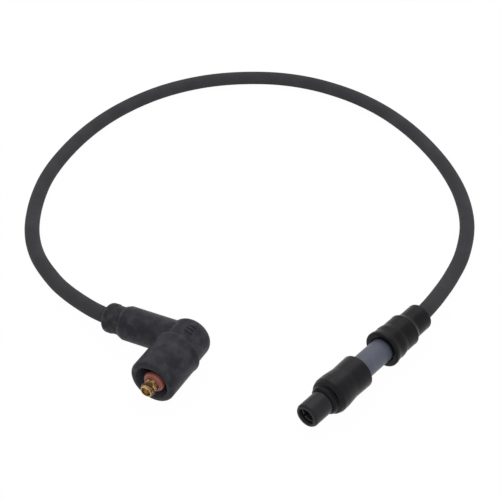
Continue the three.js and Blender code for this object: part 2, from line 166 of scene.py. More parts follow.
def carried_frames(path):
    """Side and up vectors at each point, turned from the ones before only as far as the path turns."""
    tangents = np.gradient(path, axis=0)
    tangents /= np.linalg.norm(tangents, axis=1)[:, None]
    sides = np.zeros_like(path)
    side = np.cross(tangents[0], [0.0, 0.0, 1.0])
    for i, tangent in enumerate(tangents):
        side = side - tangent * side.dot(tangent)
        side = side / np.linalg.norm(side)
        sides[i] = side
    return sides, np.cross(sides, tangents)


def tube_along(name, path, radius, columns=32):
    """Ring points = path + radius (cos a side + sin a up), with one radius or one for each ring."""
    sides, ups = carried_frames(path)
    reach = np.broadcast_to(radius, len(path))
    angle = np.linspace(0, 2 * np.pi, columns, endpoint=False)[None, :, None]
    outward = np.cos(angle) * sides[:, None, :] + np.sin(angle) * ups[:, None, :]
    rings = path[:, None, :] + reach[:, None, None] * outward
    rows = len(path)
    quads = grid_faces(rows, columns, wrap_rows=False)
    faces = quads.tolist() + [list(range(columns))[::-1], list(range((rows - 1) * columns, rows * columns))]
    along = np.concatenate([[0], np.cumsum(np.linalg.norm(np.diff(path, axis=0), axis=1))])
    row, column = quads // columns, quads % columns
    turn = column / columns
    turn[:, 1:3] = np.where(turn[:, 1:3] < turn[:, :1], 1.0, turn[:, 1:3])
    uv = np.stack([along[row] / (2 * np.pi * reach.max()), turn], axis=-1).reshape(-1, 2)
    uv = np.vstack([uv, np.zeros((2 * columns, 2))])
    return mesh_object(name, rings.reshape(-1, 3), faces, uv)


SCREW_REACH = 8 * MM
route = smooth_route(np.array(ROUTE_MM) * MM)
route = route[np.linalg.norm(route - route[0], axis=1) > SCREW_REACH]
cord = tube_along("cable", route, CABLE_RADIUS)
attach(cord, "root")
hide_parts("cable_jacket")

# %% [markdown]
# The photograph's light is soft and white, as in a light tent. A white world lights the lead from all
# round, one broad soft lamp above gives the pale tops of the round pieces, and the white floor lights
# their undersides. The floor looks white to the camera but still shows a faint shadow.

# %% Light, world and floor
WORLD_STRENGTH = 0.86
TOP_LAMP_POWER = 1.1
TOP_LAMP_SIZE = 0.55
TOP_LAMP_PLACE = Vector((-0.16, 0.36, 0.58))
FLOOR_HALF_SIZE = 3.0
FLOOR_WHITE = (0.95, 0.95, 0.95, 1)
FLOOR_GLOW_SHARE = 0.98


def node(tree, kind, **values):
    """Adds a shader node and sets its properties and input defaults by name."""
    made = tree.nodes.new(kind)
    for key, value in values.items():
        if hasattr(made, key):
            setattr(made, key, value)
        else:
            made.inputs[key.replace("_", " ")].default_value = value
    return made


def seen_rays(tree):
    """One for rays that show the background itself: straight from the camera, mirrored or through glass."""
    path = node(tree, "ShaderNodeLightPath")
    seen = path.outputs["Is Camera Ray"]
    for name in ("Is Glossy Ray", "Is Transmission Ray"):
        either = node(tree, "ShaderNodeMath", operation="MAXIMUM")
        tree.links.new(seen, either.inputs[0])
        tree.links.new(path.outputs[name], either.inputs[1])
        seen = either.outputs[0]
    return seen


def make_world():
    """World: a plain pale grey for lighting and pure white for what the camera sees directly."""
    world = bpy.data.worlds.new("tent")
    bpy.context.scene.world = world
    world.use_nodes = True
    tree = world.node_tree
    tree.nodes.clear()
    lit = node(tree, "ShaderNodeBackground", Strength=WORLD_STRENGTH)
    seen = node(tree, "ShaderNodeBackground", Strength=1.0)
    lit.inputs["Color"].default_value = (1.0, 1.0, 1.0, 1.0)
    seen.inputs["Color"].default_value = (1.0, 1.0, 1.0, 1.0)
    mix = node(tree, "ShaderNodeMixShader")
    out = node(tree, "ShaderNodeOutputWorld")
    tree.links.new(seen_rays(tree), mix.inputs[0])
    tree.links.new(lit.outputs[0], mix.inputs[1])
    tree.links.new(seen.outputs[0], mix.inputs[2])
    tree.links.new(mix.outputs[0], out.inputs["Surface"])


def make_lamp(name, place, size, power, target=(0.0, 0.05, 0.0)):
    """A square area lamp that faces its target."""
    data = bpy.data.lights.new(name, "AREA")
    data.size = size
    data.energy = power
    lamp = bpy.data.objects.new(name, data)
    lamp.location = place
    lamp.rotation_euler = (Vector(target) - Vector(place)).to_track_quat("-Z", "Y").to_euler()
    bpy.context.scene.collection.objects.link(lamp)


def make_floor():
    """A large white plane: the camera sees mostly its own white glow, and a share of shaded white."""
    size = FLOOR_HALF_SIZE
    corners = [(-size, -size, 0), (size, -size, 0), (size, size, 0), (-size, size, 0)]
    mesh = bpy.data.meshes.new("floor")
    mesh.from_pydata(corners, [], [(0, 1, 2, 3)])
    floor = bpy.data.objects.new("floor", mesh)
    bpy.context.scene.collection.objects.link(floor)
    material = bpy.data.materials.new("floor_white")
    material.use_nodes = True
    tree = material.node_tree
    tree.nodes.clear()
    plain = node(tree, "ShaderNodeBsdfDiffuse")
    plain.inputs["Color"].default_value = FLOOR_WHITE
    glow = node(tree, "ShaderNodeEmission", Strength=1.0)
    direct = node(tree, "ShaderNodeMath", operation="MULTIPLY")
    direct.inputs[1].default_value = FLOOR_GLOW_SHARE
    mix = node(tree, "ShaderNodeMixShader")
    out = node(tree, "ShaderNodeOutputMaterial")
    tree.links.new(seen_rays(tree), direct.inputs[0])
    tree.links.new(direct.outputs[0], mix.inputs[0])
    tree.links.new(plain.outputs[0], mix.inputs[1])
    tree.links.new(glow.outputs[0], mix.inputs[2])
    tree.links.new(mix.outputs[0], out.inputs["Surface"])
    mesh.materials.append(material)


bpy.context.scene.view_settings.view_transform = "Standard"
make_world()
make_lamp("top_lamp", TOP_LAMP_PLACE, TOP_LAMP_SIZE, TOP_LAMP_POWER)
make_floor()
print("world strength:", WORLD_STRENGTH, "lamp power in watts:", TOP_LAMP_POWER)

# %% [markdown]
# Moulded rubber is never one flat colour. It has a fine grain from the mould, slightly paler clouds
# where it was handled, and a surface that is more polished in some places than in others. One node
# group makes all three from noise in Object coordinates, and each material places it with its own
# strength.

# %% Node group for moulded surfaces
CLOUD_FADE = (0.42, 0.68)
SPOTS_PER_CLOUD = 5.0
GRAIN_HEIGHT = 0.1 * MM


def make_moulded_group():
    """Colour = base mixed with a paler tone by noise; roughness = its base plus noise; grain is a bump."""
    group = bpy.data.node_groups.new("moulded_surface", "ShaderNodeTree")
    for name, kind, default in (
        ("Base", "NodeSocketColor", (0.05, 0.05, 0.05, 1)), ("Pale", "NodeSocketColor", (0.1, 0.1, 0.1, 1)),
        ("Cloud Scale", "NodeSocketFloat", 60.0), ("Cloud Amount", "NodeSocketFloat", 0.3),
        ("Roughness", "NodeSocketFloat", 0.5), ("Roughness Spread", "NodeSocketFloat", 0.1),
        ("Grain Scale", "NodeSocketFloat", 1500.0), ("Grain Depth", "NodeSocketFloat", 0.1),
    ):
        socket = group.interface.new_socket(name=name, in_out="INPUT", socket_type=kind)
        socket.default_value = default
    group.interface.new_socket(name="Color", in_out="OUTPUT", socket_type="NodeSocketColor")
    group.interface.new_socket(name="Roughness", in_out="OUTPUT", socket_type="NodeSocketFloat")
    group.interface.new_socket(name="Normal", in_out="OUTPUT", socket_type="NodeSocketVector")
    inside = node(group, "NodeGroupInput")
    outside = node(group, "NodeGroupOutput")
    place = node(group, "ShaderNodeTexCoord")
    cloud = node(group, "ShaderNodeTexNoise", Detail=5.0, Roughness=0.6)
    spots = node(group, "ShaderNodeTexNoise", Detail=3.0, Roughness=0.7)
    grain = node(group, "ShaderNodeTexNoise", Detail=2.0, Roughness=0.5)
    link = group.links.new
    for noise in (cloud, spots, grain):
        link(place.outputs["Object"], noise.inputs["Vector"])
    link(inside.outputs["Cloud Scale"], cloud.inputs["Scale"])
    finer = node(group, "ShaderNodeMath", operation="MULTIPLY")
    finer.inputs[1].default_value = SPOTS_PER_CLOUD
    link(inside.outputs["Cloud Scale"], finer.inputs[0])
    link(finer.outputs[0], spots.inputs["Scale"])
    link(inside.outputs["Grain Scale"], grain.inputs["Scale"])
    contrast = node(group, "ShaderNodeMapRange")
    contrast.inputs["From Min"].default_value = CLOUD_FADE[0]
    contrast.inputs["From Max"].default_value = CLOUD_FADE[1]
    link(cloud.outputs[0], contrast.inputs["Value"])
    share = node(group, "ShaderNodeMath", operation="MULTIPLY")
    link(contrast.outputs[0], share.inputs[0])
    link(inside.outputs["Cloud Amount"], share.inputs[1])
    mix = node(group, "ShaderNodeMix", data_type="RGBA")
    link(share.outputs[0], mix.inputs["Factor"])
    link(inside.outputs["Base"], mix.inputs[6])
    link(inside.outputs["Pale"], mix.inputs[7])
    link(mix.outputs[2], outside.inputs["Color"])
    centred = node(group, "ShaderNodeMath", operation="SUBTRACT")
    centred.inputs[1].default_value = 0.5
    link(spots.outputs[0], centred.inputs[0])
    spread = node(group, "ShaderNodeMath", operation="MULTIPLY_ADD")
    link(centred.outputs[0], spread.inputs[0])
    link(inside.outputs["Roughness Spread"], spread.inputs[1])
    link(inside.outputs["Roughness"], spread.inputs[2])
    link(spread.outputs[0], outside.inputs["Roughness"])
    bump = node(group, "ShaderNodeBump")
    bump.inputs["Distance"].default_value = GRAIN_HEIGHT
    link(inside.outputs["Grain Depth"], bump.inputs["Strength"])
    link(grain.outputs[0], bump.inputs["Height"])
    link(bump.outputs[0], outside.inputs["Normal"])
    return group


MOULDED = make_moulded_group()
print("node group:", MOULDED.name, "with", len(MOULDED.nodes), "nodes")

# %% [markdown]
# The lead is almost black all over, so its finishes differ mostly in their shine: the cable and the
# seal are matt, the elbow has a soft bloom, and the two boots are glossier. The rear boot gets a darker
# copy of the boot rubber as painted shade. The elbow's rear edge carries a painted highlight of paler
# rubber, and the inside of its cup is painted a lighter grey as painted light on the bore. The terminal
# is brass, dark where it was handled, with a painted highlight of pale brass on the rim of its tip, and
# the insulator is a brick-red moulding, painted dark behind its flange as painted shade.


# %% Materials
def moulded_material(name, base, pale, clouds, sheen, grain=(1500, 0.15), metallic=0.0, specular=0.5):
    """A Principled material fed by the group: clouds are amount and scale, sheen is roughness and spread."""
    material = bpy.data.materials.new(name)
    material.use_nodes = True
    tree = material.node_tree
    shader = tree.nodes["Principled BSDF"]
    surface = tree.nodes.new("ShaderNodeGroup")
    surface.node_tree = MOULDED
    values = {
        "Base": (*base, 1), "Pale": (*pale, 1), "Cloud Amount": clouds[0], "Cloud Scale": clouds[1],
        "Roughness": sheen[0], "Roughness Spread": sheen[1], "Grain Scale": grain[0], "Grain Depth": grain[1],
    }
    for key, value in values.items():
        surface.inputs[key].default_value = value
    tree.links.new(surface.outputs["Color"], shader.inputs["Base Color"])
    tree.links.new(surface.outputs["Roughness"], shader.inputs["Roughness"])
    tree.links.new(surface.outputs["Normal"], shader.inputs["Normal"])
    shader.inputs["Metallic"].default_value = metallic
    shader.inputs["Specular IOR Level"].default_value = specular
    return material


MATT_SHINE, SOFT_SHINE, BOOT_SHINE, FAR_BOOT_SHINE = 0.15, 0.2, 0.17, 0.14
TURNED_GRAIN = (3000, 0.1)
cable_rubber = moulded_material(
    "cable_rubber", (0.036, 0.036, 0.04), (0.054, 0.054, 0.06), clouds=(0.5, 90), sheen=(0.75, 0.2),
    grain=(1200, 0.3), specular=MATT_SHINE)
elbow_rubber = moulded_material(
    "elbow_rubber", (0.012, 0.0112, 0.0165), (0.066, 0.063, 0.077), clouds=(0.48, 190), sheen=(0.5, 0.4),
    specular=SOFT_SHINE)
# Painted highlight: a paler rubber for a thin band on the cup's rear edge, in place of the light that edge
# catches.
edge_highlight_rubber = moulded_material(
    "edge_highlight_rubber", (0.04, 0.038, 0.046), (0.1, 0.096, 0.11), clouds=(0.6, 300), sheen=(0.5, 0.2),
    specular=SOFT_SHINE)
# Painted light: a lighter grey rubber for the bore of the cup, where light falls on its wall.
bore_painted_light_rubber = moulded_material(
    "bore_painted_light_rubber", (0.068, 0.066, 0.08), (0.1, 0.098, 0.115), clouds=(0.5, 190), sheen=(0.6, 0.2),
    specular=MATT_SHINE)
seal_rubber = moulded_material(
    "seal_rubber", (0.014, 0.014, 0.017), (0.06, 0.06, 0.066), clouds=(0.7, 320), sheen=(0.55, 0.3),
    grain=(700, 0.6), specular=MATT_SHINE)
boot_rubber = moulded_material(
    "boot_rubber", (0.0025, 0.0025, 0.004), (0.012, 0.012, 0.0135), clouds=(0.5, 150), sheen=(0.33, 0.3),
    specular=BOOT_SHINE)
# Painted shade: a darker copy of the boot rubber for the rear boot.
shaded_boot_rubber = moulded_material(
    "shaded_boot_rubber", (0.0018, 0.0018, 0.003), (0.009, 0.009, 0.0105), clouds=(0.5, 150), sheen=(0.36, 0.3),
    specular=FAR_BOOT_SHINE)
nose_plastic = moulded_material(
    "nose_plastic", (0.009, 0.009, 0.011), (0.02, 0.02, 0.022), clouds=(0.5, 120), sheen=(0.36, 0.2),
    specular=SOFT_SHINE)
grey_plastic = moulded_material(
    "grey_plastic", (0.09, 0.098, 0.128), (0.125, 0.135, 0.165), clouds=(0.5, 110), sheen=(0.42, 0.2),
    specular=SOFT_SHINE)
phenolic = moulded_material(
    "phenolic", (0.25, 0.06, 0.044), (0.36, 0.112, 0.084), clouds=(0.7, 150), sheen=(0.35, 0.2))
brass = moulded_material(
    "brass", (0.12, 0.062, 0.026), (0.82, 0.56, 0.25), clouds=(0.75, 420), sheen=(0.22, 0.3),
    grain=TURNED_GRAIN, metallic=1.0)
dark_brass = moulded_material(
    "dark_brass", (0.1, 0.045, 0.03), (0.3, 0.17, 0.13), clouds=(0.6, 420), sheen=(0.3, 0.3),
    grain=TURNED_GRAIN, metallic=1.0)
# Painted highlight: a pale brass for the rim of the terminal's tip, in place of the light its edge catches.
rim_highlight_brass = moulded_material(
    "rim_highlight_brass", (0.42, 0.35, 0.18), (0.95, 0.88, 0.66), clouds=(0.8, 700), sheen=(0.25, 0.2),
    grain=TURNED_GRAIN, metallic=1.0)
steel = moulded_material(
    "steel", (0.03, 0.03, 0.033), (0.07, 0.07, 0.073), clouds=(0.5, 300), sheen=(0.5, 0.2),
    grain=(2500, 0.1), metallic=0.3)
ceramic = moulded_material(
    "ceramic", (0.68, 0.64, 0.55), (0.76, 0.73, 0.65), clouds=(0.5, 100), sheen=(0.55, 0.2))
copper = moulded_material(
    "copper", (0.62, 0.27, 0.14), (0.75, 0.4, 0.22), clouds=(0.5, 400), sheen=(0.3, 0.2), metallic=1.0)
cord.data.materials.append(cable_rubber)
print("materials:", len(bpy.data.materials))

# %% [markdown]
# Most pieces of the two connectors were turned or moulded round one axis. Such a piece is a closed
# outline of radius and height, carried round the axis. Its corners get true arcs, so the light runs
# over every edge as it does on moulded rubber.

# %% Turned pieces
EDGE_ROUNDING = 0.12
BROAD_ROUNDING = 0.4
SHARE_OF_SIDE = 0.45
STRAIGHT_HALF_ANGLE = math.radians(88)


def rounded_outline(corners, arc_steps=7):
    """Corners [radius, height, rounding] in mm; a rounding becomes an arc that touches both sides."""
    outline = []
    count = len(corners)
    for i, corner in enumerate(corners):
        here = np.array(corner[:2], dtype=float)
        rounding = corner[2] if len(corner) > 2 else EDGE_ROUNDING
        before = np.array(corners[i - 1][:2], dtype=float) - here
        after = np.array(corners[(i + 1) % count][:2], dtype=float) - here
        room = SHARE_OF_SIDE * min(np.linalg.norm(before), np.linalg.norm(after))
        before, after = before / np.linalg.norm(before), after / np.linalg.norm(after)
        half = math.acos(float(np.clip(before.dot(after), -1, 1))) / 2
        reach = rounding / math.tan(half)
        if len(corner) < 3 and reach > room:
            rounding, reach = rounding * room / reach, room
        if half > STRAIGHT_HALF_ANGLE:
            outline.append(here)
            continue
        bisector = (before + after) / np.linalg.norm(before + after)
        centre = here + bisector * rounding / math.sin(half)
        start, end = here + before * reach - centre, here + after * reach - centre
        from_angle = math.atan2(start[1], start[0])
        sweep = (math.atan2(end[1], end[0]) - from_angle + math.pi) % (2 * math.pi) - math.pi
        steps = arc_steps if rounding > BROAD_ROUNDING else 3
        angle = from_angle + sweep * np.linspace(0, 1, steps + 1)
        outline.extend(centre + rounding * np.stack([np.cos(angle), np.sin(angle)], axis=1))
    return np.array(outline)


def outline_area(outline):
    """Signed area by the shoelace sum: positive when the outline runs counter-clockwise."""
    x, y = outline[:, 0], outline[:, 1]
    return 0.5 * float(np.sum(x * np.roll(y, -1) - np.roll(x, -1) * y))


def turned_points(outline, columns, shape=None):
    """Point = (r sin a, h, r cos a) for each outline point and angle; shape may change r and h with a."""
    angle = np.linspace(0, 2 * np.pi, columns, endpoint=False)
    radius = np.repeat(outline[:, :1], columns, axis=1)
    height = np.repeat(outline[:, 1:], columns, axis=1)
    if shape is not None:
        radius, height = shape(radius, height, np.broadcast_to(angle, radius.shape))
    return np.stack([radius * np.sin(angle), height, radius * np.cos(angle)], axis=-1)


def turned_piece(name, corners, place, columns=96, shape=None):
    """A closed turned ring about the local Y axis, moved to its place by a 4 by 4 matrix."""
    outline = rounded_outline(corners)
    if outline_area(outline) < 0:
        outline = outline[::-1]
    points = turned_points(outline, columns, shape) * MM
    rows = len(outline)
    quads = grid_faces(rows, columns, wrap_rows=True)[:, ::-1]
    flat = points.reshape(-1, 3)
    turn, shift = np.array(place.to_3x3()), np.array(place.translation)
    obj = mesh_object(name, flat @ turn.T + shift, quads)
    volume = mesh_volume(obj)
    if volume < 0:
        obj.data.flip_normals()
    print(name, "points:", len(flat), "volume in cm3:", round(abs(volume) * 1e6, 3))
    return obj


def mesh_volume(obj):
    """Signed volume of a closed mesh in cubic metres."""
    measured = bmesh.new()
    measured.from_mesh(obj.data)
    volume = measured.calc_volume(signed=True)
    measured.free()
    return volume


def dress(piece, material, slot, *nodes):
    """Gives a piece its material, lets it ride on the lead and stand for its solid nodes."""
    piece.data.materials.append(material)
    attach(piece, "root")
    if nodes:
        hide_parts(*nodes)


# %% [markdown]
# The straight connector lies along +Y. Its place comes from the solid nose: the middle of its box
# gives the axis and its low end the tip. The nose and the tube keep the outlines of the solid parts,
# with softer edges.

# %% Straight connector
nose_low, nose_high = (np.array(corner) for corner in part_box("plug_nose"))
PLUG_AXIS = Vector(((nose_low[0] + nose_high[0]) / 2, nose_low[1], (nose_low[2] + nose_high[2]) / 2))
plug_place = Matrix.Translation(PLUG_AXIS)
NOSE_RADIUS, NOSE_BORE, NOSE_LENGTH = 5.15, 4.3, 15.6
TUBE_RADIUS, TUBE_BORE, TUBE_END = 5.23, 4.1, 62.0
BOOT_BORE = TUBE_RADIUS + 0.1
BOOT_COLUMNS, BOOT_MOULD_LINE = 128, 0.07
CABLE_BORE = 3.7


def mould_line(height_mm, where=0.0, width=0.02, fade=(-99.0, -98.0)):
    """Raises a line along the piece: r + height times a bell curve of the angle, faded in along it."""

    def shape(radius, height, angle):
        away = (angle - where + np.pi) % (2 * np.pi) - np.pi
        strength = height_mm * np.clip((height - fade[0]) / (fade[1] - fade[0]), 0, 1)
        outside = radius > CABLE_BORE + 1.9
        return radius + outside * strength * np.exp(-((away / width) ** 2)), height

    return shape


nose = turned_piece("nose", [
    [3.3, 1.1, 0.3], [3.7, 0.0, 0.2], [4.6, 0.0, 0.35], [NOSE_RADIUS, 0.95, 0.5],
    [NOSE_RADIUS, NOSE_LENGTH, 0.2], [NOSE_BORE, NOSE_LENGTH], [NOSE_BORE, 1.6], [3.3, 1.6],
], plug_place)
dress(nose, nose_plastic, "nose_plastic", "plug_nose")

body_tube = turned_piece("body_tube", [
    [1.7, 13.1], [4.0, 13.1, 0.2], [4.0, 15.9], [TUBE_RADIUS, 15.9, 0.3], [TUBE_RADIUS, TUBE_END, 0.3],
    [TUBE_BORE, TUBE_END], [TUBE_BORE, 18.0], [1.7, 18.0],
], plug_place)
dress(body_tube, grey_plastic, "grey_plastic", "plug_body_tube")

# %% [markdown]
# Both boots are soft sleeves that were pulled over the tube. The front one ends in a thin lip, swells
# where it covers the shoulder of the nose and narrows to a waist. The rear one has a flared mouth, two
# thin ribs, a sleeve and a narrow collar that holds the cable. Long roundings make the soft curves, and
# a faint mould line runs along the top.

# %% Rubber boots
sealing_boot = turned_piece("sealing_boot", [
    [5.2, 10.4, 0.03], [5.5, 10.35, 0.2], [6.2, 11.1, 0.6], [6.35, 11.75, 0.4], [5.95, 12.2, 0.3],
    [6.05, 12.65, 0.3], [7.3, 12.95, 0.6], [7.98, 14.95, 1.8], [7.9, 18.55, 3.5], [7.25, 24.15, 9.0],
    [7.5, 32.95, 0.5], [BOOT_BORE, 32.95, 0.3], [BOOT_BORE, 15.6], [5.2, 15.3],
], plug_place, columns=BOOT_COLUMNS, shape=mould_line(BOOT_MOULD_LINE))
dress(sealing_boot, boot_rubber, "boot_rubber", "plug_sealing_boot")

cable_boot = turned_piece("cable_boot", [
    [5.29, 49.25, 0.1], [6.0, 48.85, 0.35], [8.17, 48.85, 0.7], [8.17, 50.45, 1.5], [7.72, 52.45, 2.0],
    [7.72, 54.65, 0.15], [7.8, 54.8, 0.08], [7.8, 54.95, 0.08], [7.72, 55.1, 0.15], [7.72, 55.95, 0.8],
    [7.32, 57.95, 0.9], [7.32, 64.35, 0.15], [7.4, 64.5, 0.08], [7.36, 64.85, 0.4], [6.02, 67.15, 1.2],
    [6.0, 76.4, 0.9], [CABLE_BORE, 76.4, 0.25], [CABLE_BORE, 62.3], [BOOT_BORE, 62.3],
    [BOOT_BORE, 49.95, 0.3],
], plug_place, columns=BOOT_COLUMNS, shape=mould_line(BOOT_MOULD_LINE))
# The rear boot takes the darker copy of the boot rubber as painted shade.
dress(cable_boot, shaded_boot_rubber, "boot_rubber", "plug_cable_boot")

# %% [markdown]
# The elbow lies on the round of its cup and on the bead of its cable seal, so it is rolled a little
# about the cup's axis. Its frame has its origin where the barrel's axis crosses the terminal's, with
# the cup's mouth towards -Y and the cable towards -X. The insulator and the terminal lean a little in
# the cup, so they have a frame of their own.

# %% Elbow frame
ELBOW_PLACE = Vector((-15.25, -23.78, 10.32)) * MM
ELBOW_YAW = math.radians(12.4)
ELBOW_ROLL = 0.0979513
INSERT_LEAN = math.radians(1.6)
MOUTH, CUP_BACK = -26.74, -6.44
CUP_RADIUS, CUP_BORE = 10.07, 7.15
elbow_place = (Matrix.Translation(ELBOW_PLACE) @ Matrix.Rotation(ELBOW_YAW, 4, "Z")
               @ Matrix.Rotation(-ELBOW_ROLL, 4, "Y"))
barrel_place = elbow_place @ Matrix.Rotation(math.radians(90), 4, "Z")
insert_place = elbow_place @ Matrix.Rotation(INSERT_LEAN, 4, "Z")
print("elbow's frame at", [round(v / MM, 2) for v in ELBOW_PLACE], "mm")

# %% [markdown]
# The cup has a thick rounded rim, and it flares a little towards the head, where its rear edge has a
# painted highlight: a thin band of paler rubber. A short mould line runs up to that edge. The bore is
# painted a lighter grey as painted light on its wall, from a little behind the mouth, so a band of
# painted shade stays at the rim. Such a change of tone on one piece is a second material on a band of
# faces, picked by their height and radius. The beaded seal closes the barrel's mouth round the cable.

# %% Cup and cable seal
LIP_FLARE, LIP_HIGHLIGHT_START, RIM_SHADE_DEPTH = 0.3, -6.8, 2.2


def repaint(piece, material, place, low, high, inner=0.0, outer=99.0):
    """Gives a further material to faces whose middles lie between two heights and two radii, in mm."""
    middles = np.zeros(3 * len(piece.data.polygons))
    piece.data.polygons.foreach_get("center", middles)
    indices = np.zeros(len(piece.data.polygons), dtype=np.int32)
    piece.data.polygons.foreach_get("material_index", indices)
    turn, shift = np.array(place.to_3x3()), np.array(place.translation)
    local = (middles.reshape(-1, 3) - shift) @ turn / MM
    away = np.hypot(local[:, 0], local[:, 2])
    chosen = (local[:, 1] > low) & (local[:, 1] < high) & (away > inner) & (away < outer)
    indices[chosen] = len(piece.data.materials)
    piece.data.materials.append(material)
    piece.data.polygons.foreach_set("material_index", indices)
    print(piece.name, "faces repainted:", int(chosen.sum()))


cup = turned_piece("cup", [
    [CUP_BORE, MOUTH + 0.5, 0.4], [CUP_BORE + 0.5, MOUTH, 0.3], [CUP_RADIUS, MOUTH, 1.6],
    [CUP_RADIUS, -9.2, 3.0], [CUP_RADIUS + LIP_FLARE, -7.4, 0.6],
    [CUP_RADIUS + LIP_FLARE, LIP_HIGHLIGHT_START, 0.05], [CUP_RADIUS + LIP_FLARE, CUP_BACK, 0.3],
    [CUP_BORE, CUP_BACK],
], elbow_place, columns=160, shape=mould_line(0.2, where=-0.03, width=0.025, fade=(-14.0, -9.0)))
dress(cup, elbow_rubber, "elbow_rubber", "elbow_cup")
# The bore is painted lighter from a little behind the mouth as painted light; the band nearest the rim keeps
# the dark rubber as painted shade.
repaint(cup, bore_painted_light_rubber, elbow_place, MOUTH + RIM_SHADE_DEPTH, CUP_BACK, outer=CUP_BORE + 0.05)
# The band on the cup's rear edge gets the paler rubber as a painted highlight.
repaint(cup, edge_highlight_rubber, elbow_place, LIP_HIGHLIGHT_START, CUP_BACK + 0.1, inner=CUP_RADIUS)

cable_seal = turned_piece("cable_seal", [
    [CABLE_BORE, 25.5], [4.9, 25.5], [4.9, 31.5], [6.2, 31.5, 0.2], [6.2, 34.9, 0.5], [6.55, 35.9, 0.7],
    [6.5, 39.5, 1.7], [CABLE_BORE, 39.5, 0.3],
], barrel_place)
dress(cable_seal, seal_rubber, "seal_rubber", "elbow_cable_seal")

# %% [markdown]
# In the cup stands a brick-red insulator. Its front is a small hub that widens to a flange. Behind the
# flange it is painted as dark as the rubber round it, as painted shade inside the cup. A small dark nut
# sits in front of it on the terminal.

# %% Insulator and nut
FLANGE_RADIUS, NECK_RADIUS, SEAT_RADIUS, INSERT_BORE, INSERT_BACK = 4.6, 4.2, 5.15, 3.0, -9.0
# Painted shade: from this height back, the insulator is painted with the dark elbow rubber.
INSULATOR_SHADE_START = -24.83
insulator = turned_piece("insulator", [
    [INSERT_BORE, -27.2, 0.1], [3.55, -27.2, 0.25], [3.7, -26.6, 0.3], [4.35, -26.2, 0.3],
    [FLANGE_RADIUS, -25.5, 0.4], [FLANGE_RADIUS, -24.9, 0.15], [NECK_RADIUS, -24.85, 0.1],
    [NECK_RADIUS, -14.9, 0.1], [SEAT_RADIUS, -14.7, 0.1], [SEAT_RADIUS, INSERT_BACK],
    [INSERT_BORE, INSERT_BACK],
], insert_place)
dress(insulator, phenolic, "phenolic", "elbow_insulator")
# Painted shade on the insulator behind its flange.
repaint(insulator, elbow_rubber, insert_place, INSULATOR_SHADE_START, INSERT_BACK)

terminal_nut = turned_piece("terminal_nut", [
    [2.6, -30.5], [3.15, -30.5, 0.2], [3.15, -29.9, 0.2], [2.6, -29.9],
], insert_place)
dress(terminal_nut, dark_brass, "brass", "elbow_terminal_nut")

# %% [markdown]
# The brass terminal is a hollow stud with a fine thread. A thread is the same turned grid, but its
# outside radius rises and falls with the height and the angle together, so the ridge climbs one
# pitch in each turn.

# %% Brass terminal
TERMINAL_RADIUS, TERMINAL_BORE, TERMINAL_TIP = 2.75, 2.15, -31.84
THREAD_PITCH, THREAD_DEPTH = 0.75, 0.22
# The last value is the depth of the painted highlight band on the terminal's tip.
THREAD_END, THREAD_STEP, RIM_HIGHLIGHT_DEPTH = -26.2, 0.06, 0.18


def thread_shape(radius, height, angle):
    """r - depth * (1 - wave): wave is a cosine of the height in pitches less the turn, faded at the ends."""
    wave = 0.5 + 0.5 * np.cos(2 * np.pi * height / THREAD_PITCH - angle)
    outside = radius > TERMINAL_RADIUS - 0.3
    fade_in = np.clip((height - TERMINAL_TIP - 0.3) / 0.4, 0, 1)
    fade_out = np.clip((THREAD_END - 0.2 - height) / 0.4, 0, 1)
    return radius - outside * fade_in * fade_out * THREAD_DEPTH * (1 - wave), height


thread_heights = np.arange(TERMINAL_TIP + 0.5, THREAD_END, THREAD_STEP)
thread_side = [[TERMINAL_RADIUS, float(height), 0.0] for height in thread_heights]
terminal = turned_piece("terminal", [
    [TERMINAL_BORE, TERMINAL_TIP, 0.1], [TERMINAL_RADIUS - 0.35, TERMINAL_TIP, 0.1], *thread_side,
    [TERMINAL_RADIUS, -15.0], [TERMINAL_BORE, -15.0],
], insert_place, columns=72, shape=thread_shape)
dress(terminal, brass, "brass", "elbow_terminal")
# The tip's rim gets the pale brass as a painted highlight.
repaint(terminal, rim_highlight_brass, insert_place, TERMINAL_TIP - 0.1, TERMINAL_TIP + RIM_HIGHLIGHT_DEPTH)
bottom = turned_piece("terminal_bottom", [
    [0.05, -30.5, 0.02], [2.05, -30.7, 0.1], [2.05, -30.2, 0.1], [0.05, -30.2, 0.02],
], insert_place, columns=48)
dress(bottom, brass, "brass")

# %% [markdown]
# The elbow's housing is cut and melted from solid blanks, as a mould maker would carve it. A blank is a
# turned solid that closes on its own axis. Blanks can be joined, or cut by a boolean with another one.


# %% Solid blanks
def closed_turned(name, corners, place, columns=96):
    """A turned solid whose outline starts and ends on the axis: its end rings shrink to one point each."""
    outline = rounded_outline(corners)
    outline = outline[outline[:, 0] > 1e-6]
    points = turned_points(outline, columns).reshape(-1, 3)
    ends = [[0.0, outline[0, 1], 0.0], [0.0, outline[-1, 1], 0.0]]
    rows = len(outline)
    start, stop = np.full(columns, len(points)), np.full(columns, len(points) + 1)
    here, beside = np.arange(columns), (np.arange(columns) + 1) % columns
    last_ring = (rows - 1) * columns
    faces = grid_faces(rows, columns, wrap_rows=False).tolist()
    faces += np.stack([start, beside, here], axis=1).tolist()
    faces += np.stack([stop, last_ring + here, last_ring + beside], axis=1).tolist()
    points = np.vstack([points, ends]) * MM
    turn, shift = np.array(place.to_3x3()), np.array(place.translation)
    obj = mesh_object(name, points @ turn.T + shift, faces)
    if mesh_volume(obj) < 0:
        obj.data.flip_normals()
    return obj


def apply_modifiers(obj):
    """Bakes an object's modifiers into its mesh."""
    depsgraph = bpy.context.evaluated_depsgraph_get()
    baked = bpy.data.meshes.new_from_object(obj.evaluated_get(depsgraph))
    obj.modifiers.clear()
    obj.data = baked


